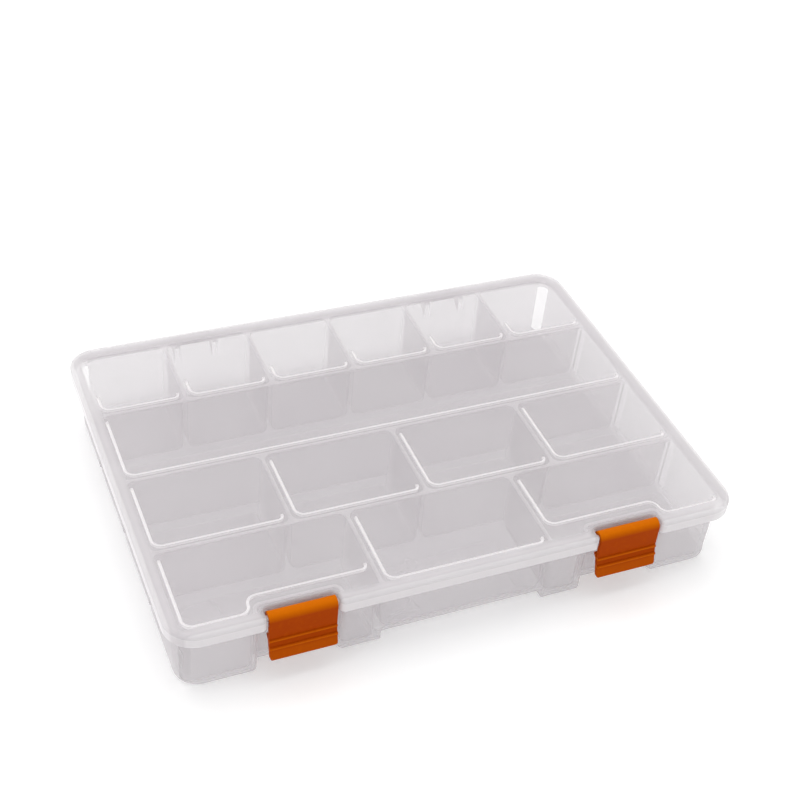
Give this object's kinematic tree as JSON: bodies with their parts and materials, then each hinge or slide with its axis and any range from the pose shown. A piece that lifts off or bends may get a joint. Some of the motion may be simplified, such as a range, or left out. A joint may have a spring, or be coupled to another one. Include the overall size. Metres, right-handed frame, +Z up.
{
  "type": "compartment storage box",
  "caption": "Shallow clear plastic compartment box with fixed dividers, a ribbed lid hinged at the back and two coloured pivoting latches at the front.",
  "frame": {"origin": "centre of the tray's underside, on the surface that the box rests on", "axes": "+X to the right along the box's length, +Y to the hinge side at the back, +Z up through the lid; the latches face -Y"},
  "size_m": [0.273, 0.2054, 0.037],
  "materials": {
    "clear_tray": "frosted translucent moulding, satin",
    "clear_lid": "translucent moulding, satin",
    "orange_latch": "opaque orange moulding, satin"
  },
  "bodies": {
    "tray": {"base_tray": "clear_tray"},
    "lid": {"lid": "clear_lid"},
    "left_latch": {"left_latch": "orange_latch"},
    "right_latch": {"right_latch": "orange_latch"}
  },
  "joints": [
    {"name": "lid_hinge", "type": "hinge", "parent": "tray", "child": "lid", "pos_m": [0, 0.1021, 0.0295], "axis": [-1, 0, 0], "range_deg": [0, 180]},
    {"name": "left_latch_hinge", "type": "hinge", "parent": "lid", "child": "left_latch", "pos_m": [-0.0785, -0.0955, 0.0339], "axis": [-1, 0, 0], "range_deg": [0, 120]},
    {"name": "right_latch_hinge", "type": "hinge", "parent": "lid", "child": "right_latch", "pos_m": [0.0785, -0.0955, 0.0339], "axis": [-1, 0, 0], "range_deg": [0, 120]}
  ]
}
